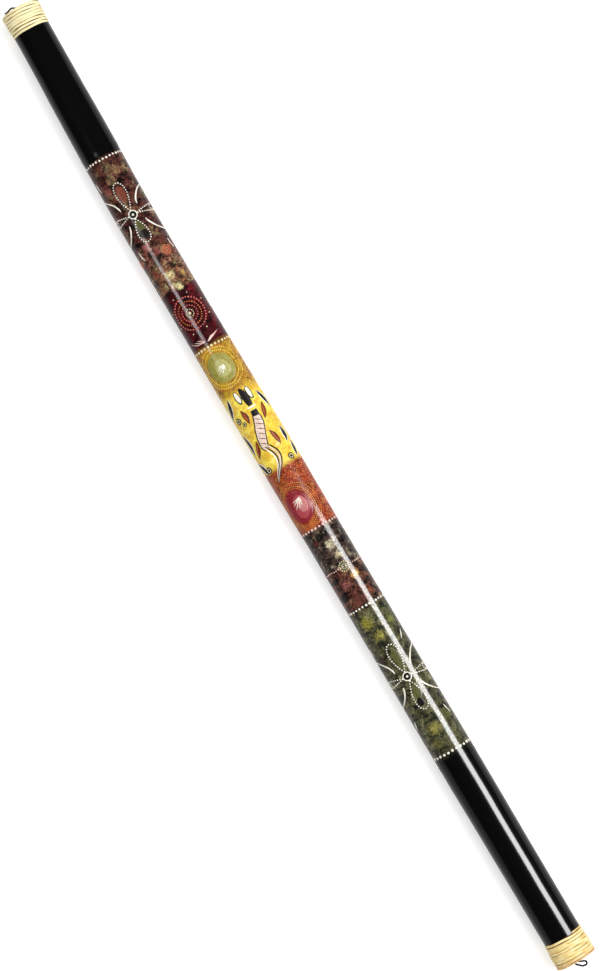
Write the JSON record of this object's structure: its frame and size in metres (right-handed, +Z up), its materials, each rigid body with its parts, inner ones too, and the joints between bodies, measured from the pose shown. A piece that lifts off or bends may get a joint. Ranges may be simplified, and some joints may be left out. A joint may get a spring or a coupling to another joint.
{
  "type": "rainstick",
  "caption": "Long painted bamboo rain shaker with rattan-wound ends, a cord loop at each end, inner pins and loose pebbles.",
  "frame": {"origin": "on the ground, below the middle of the stick, which lies on its two rattan wraps", "axes": "+X along the stick towards its lower, thicker end; +Y to its left seen from the upper end; +Z up, towards the painted side that shows"},
  "size_m": [1.2193, 0.0517, 0.0478],
  "materials": {
    "lacquered_bamboo": "black gloss lacquer with a painted band, over bamboo",
    "rattan": "split rattan strip, clear varnish",
    "plug_wood": "sawn softwood",
    "black_cord": "waxed braided cord",
    "bamboo_pin": "split bamboo",
    "pebble": "small water-worn gravel"
  },
  "bodies": {
    "stick": {"bamboo_tube": "lacquered_bamboo", "upper_end_plug": "plug_wood", "lower_end_plug": "plug_wood", "upper_rattan_wrap": "rattan", "lower_rattan_wrap": "rattan", "upper_end_cover": "rattan", "lower_end_cover": "rattan", "upper_loop_knot": "black_cord", "lower_loop_knot": "black_cord", "pins_upper_end": "bamboo_pin", "pins_upper_middle": "bamboo_pin", "pins_lower_middle": "bamboo_pin", "pins_lower_end": "bamboo_pin"},
    "pebbles": {"pebbles_upper_end": "pebble", "pebbles_upper_middle": "pebble", "pebbles_lower_middle": "pebble", "pebbles_lower_end": "pebble"},
    "upper_loop": {"upper_loop": "black_cord"},
    "lower_loop": {"lower_loop": "black_cord"}
  },
  "joints": [
    {"name": "pebble_slide", "type": "slide", "parent": "stick", "child": "pebbles", "axis": [1, 0, 0], "range_m": [-0.02, 0.02]},
    {"name": "upper_loop_swing", "type": "hinge", "parent": "stick", "child": "upper_loop", "pos_m": [-0.60093, 0.0019, 0.0228], "axis": [0, 0, 1], "range_deg": [-60, 10]},
    {"name": "lower_loop_swing", "type": "hinge", "parent": "stick", "child": "lower_loop", "pos_m": [0.60098, 0.0019, 0.0239], "axis": [0, 0, 1], "range_deg": [-30, 30]}
  ]
}
